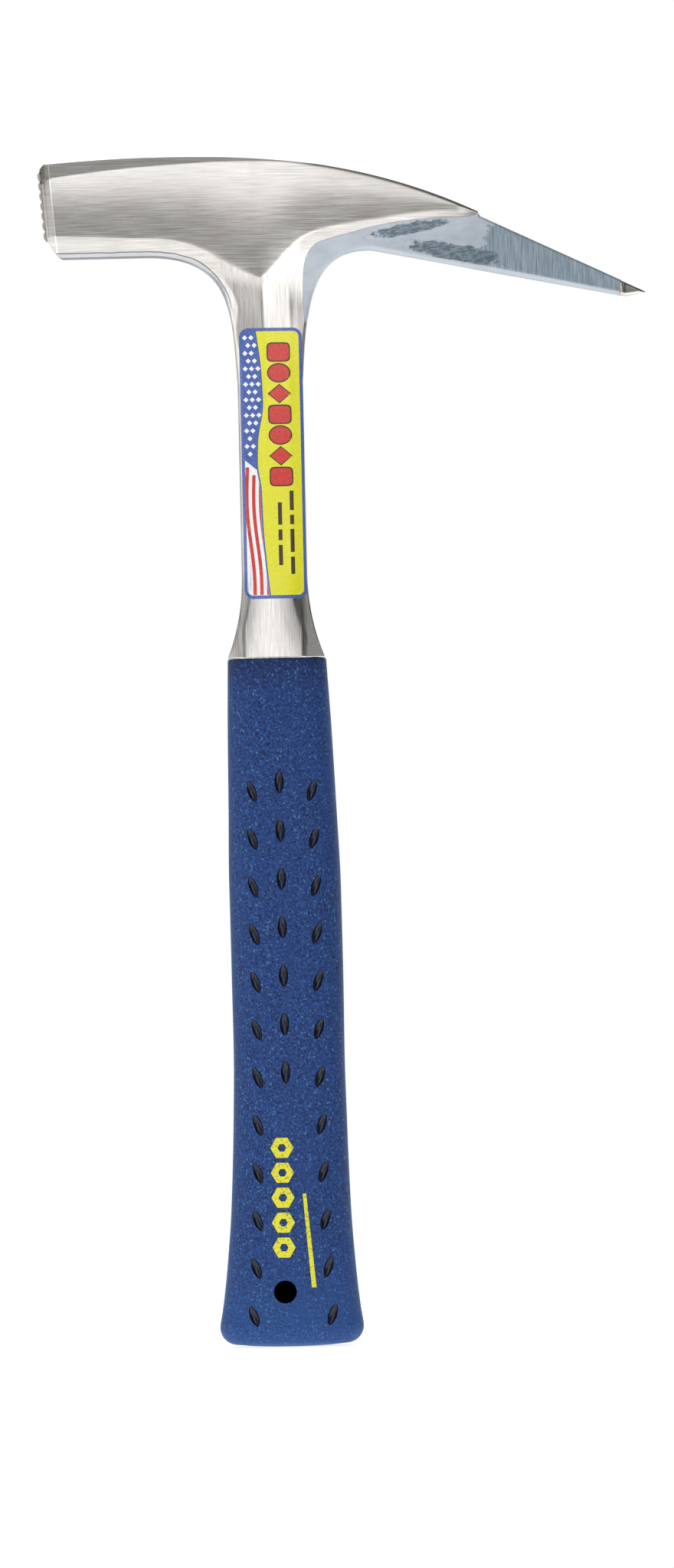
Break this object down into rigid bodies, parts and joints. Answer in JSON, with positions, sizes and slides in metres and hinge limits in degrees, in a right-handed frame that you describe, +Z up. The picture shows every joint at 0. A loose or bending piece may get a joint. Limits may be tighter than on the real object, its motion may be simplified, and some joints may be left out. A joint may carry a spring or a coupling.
{
  "type": "rock hammer",
  "caption": "Hand hammer forged in one piece, with a milled square face, a long pointed pick, a slim shank and a dimpled moulded grip with a peg hole.",
  "frame": {"origin": "centre of the flat pad under the butt, on the axis of the shank", "axes": "+Z up the handle towards the head, +X towards the pick's tip, -Y out of the labelled side"},
  "size_m": [0.1677, 0.0255, 0.3305],
  "materials": {
    "polished_steel": "ground and polished, brushed along the head",
    "blue_grip": "fine sand-blast texture",
    "bonding_primer": "thin sprayed coat",
    "label_film": "glossy printed film",
    "yellow_foil": "hot-stamped foil",
    "blue_grey_paint": "thin satin paint over forged and ground steel"
  },
  "bodies": {
    "root": {"forging": "polished_steel", "grip": "blue_grip", "bond_coat": "bonding_primer", "shank_label": "label_film", "grip_emblem": "yellow_foil", "pick_paint": "blue_grey_paint"}
  },
  "joints": []
}
